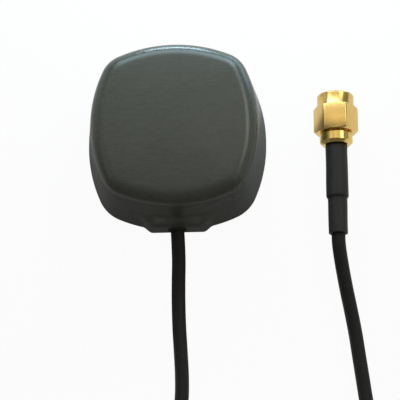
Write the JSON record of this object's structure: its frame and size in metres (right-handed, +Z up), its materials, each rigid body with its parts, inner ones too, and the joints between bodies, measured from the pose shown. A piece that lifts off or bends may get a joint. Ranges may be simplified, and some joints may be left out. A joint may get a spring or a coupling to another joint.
{
  "type": "active satellite-navigation antenna",
  "caption": "Low puck-shaped active satellite-navigation antenna with a magnetic base, a thin coaxial lead and a screw-on gold coaxial plug.",
  "frame": {"origin": "middle of the foot pad's underside", "axes": "+Z up through the housing's top; the lead leaves the housing towards -Y; the plug lies on the +X side and its mouth points about +Y"},
  "size_m": [0.0663, 0.1512, 0.0156],
  "materials": {
    "housing_plastic": "fine matte grain",
    "base_plastic": "matte",
    "black_rubber": "matte",
    "cable_jacket": "semi-matte soft vinyl",
    "shrink_tube": "semi-matte",
    "nickel": "plated",
    "screw_steel": "dark zinc",
    "patch_ceramic": "fired, unglazed",
    "silver_film": "fired silver film",
    "tinned_metal": "tinned",
    "foam_tape": "soft matte",
    "board_laminate": "solder resist",
    "chip_black": "moulded",
    "chip_ceramic": "fired",
    "copper": "bare copper",
    "ptfe": "waxy white",
    "gold_plate": "gold plate, fine turned",
    "ferrule_metal": "gold plate",
    "seal_rubber": "silicone"
  },
  "bodies": {
    "antenna": {"top_cover": "housing_plastic", "base_plate": "base_plastic", "base_pad": "black_rubber", "edge_seal": "black_rubber", "magnets": "nickel", "base_screws": "screw_steel", "ceramic_patch": "patch_ceramic", "patch_face": "silver_film", "feed_pin": "tinned_metal", "patch_tape": "foam_tape", "circuit_board": "board_laminate", "shield_can": "tinned_metal", "amplifier_chip": "chip_black", "filter_chip": "chip_ceramic", "chip_parts": "chip_ceramic", "cable_bush": "black_rubber", "board_jacket": "cable_jacket", "board_braid": "copper", "board_core": "ptfe", "board_wire": "copper", "ground_clip": "tinned_metal", "antenna_lead": "cable_jacket", "cable_coil": "cable_jacket", "coil_tie": "black_rubber", "plug_lead": "cable_jacket", "plug_body": "gold_plate", "snap_ring": "nickel", "seal_ring": "seal_rubber", "plug_insulator": "ptfe", "centre_contact": "gold_plate", "crimp_ferrule": "ferrule_metal", "shrink_sleeve": "shrink_tube", "plug_jacket": "cable_jacket", "plug_braid": "copper", "plug_core": "ptfe", "plug_wire": "copper"},
    "coupling_nut": {"coupling_nut": "gold_plate"}
  },
  "joints": [
    {"name": "coupling_nut_spin", "type": "hinge", "parent": "antenna", "child": "coupling_nut", "pos_m": [0.0331, 0.0083, 0.0043], "axis": [0.0209, 0.9998, 0], "continuous": true}
  ]
}
